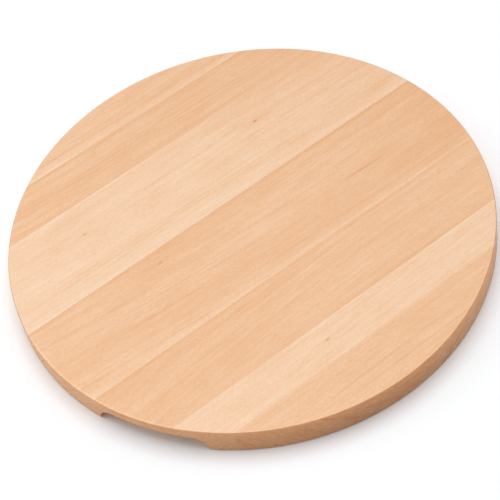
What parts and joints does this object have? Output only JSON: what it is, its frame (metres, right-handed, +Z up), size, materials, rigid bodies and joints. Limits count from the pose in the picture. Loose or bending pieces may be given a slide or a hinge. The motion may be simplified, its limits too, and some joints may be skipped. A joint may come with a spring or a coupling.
{
  "type": "pizza board",
  "caption": "Round flat serving board of edge-glued beech staves, with finger grips coved into the underside of the rim so it can be lifted off a table.",
  "frame": {"origin": "centre of the underside, in the plane of the table the board lies on", "axes": "+Z up through the serving face, -Y out through the front finger grip and +Y out through the back one; the grain runs 60 degrees anticlockwise from +X"},
  "size_m": [0.33, 0.33, 0.02],
  "materials": {
    "beech_light": "satin",
    "beech_mid": "satin",
    "beech_tan": "satin",
    "wood_glue": "satin"
  },
  "bodies": {
    "root": {"stave_1_edge": "beech_mid", "stave_2": "beech_tan", "stave_3_back_grip": "beech_light", "stave_4_centre": "beech_tan", "stave_5_front_grip": "beech_tan", "stave_6": "beech_light", "stave_7_edge": "beech_mid", "glue_line_1_2": "wood_glue", "glue_line_2_3": "wood_glue", "glue_line_3_4": "wood_glue", "glue_line_4_5": "wood_glue", "glue_line_5_6": "wood_glue", "glue_line_6_7": "wood_glue"}
  },
  "joints": []
}
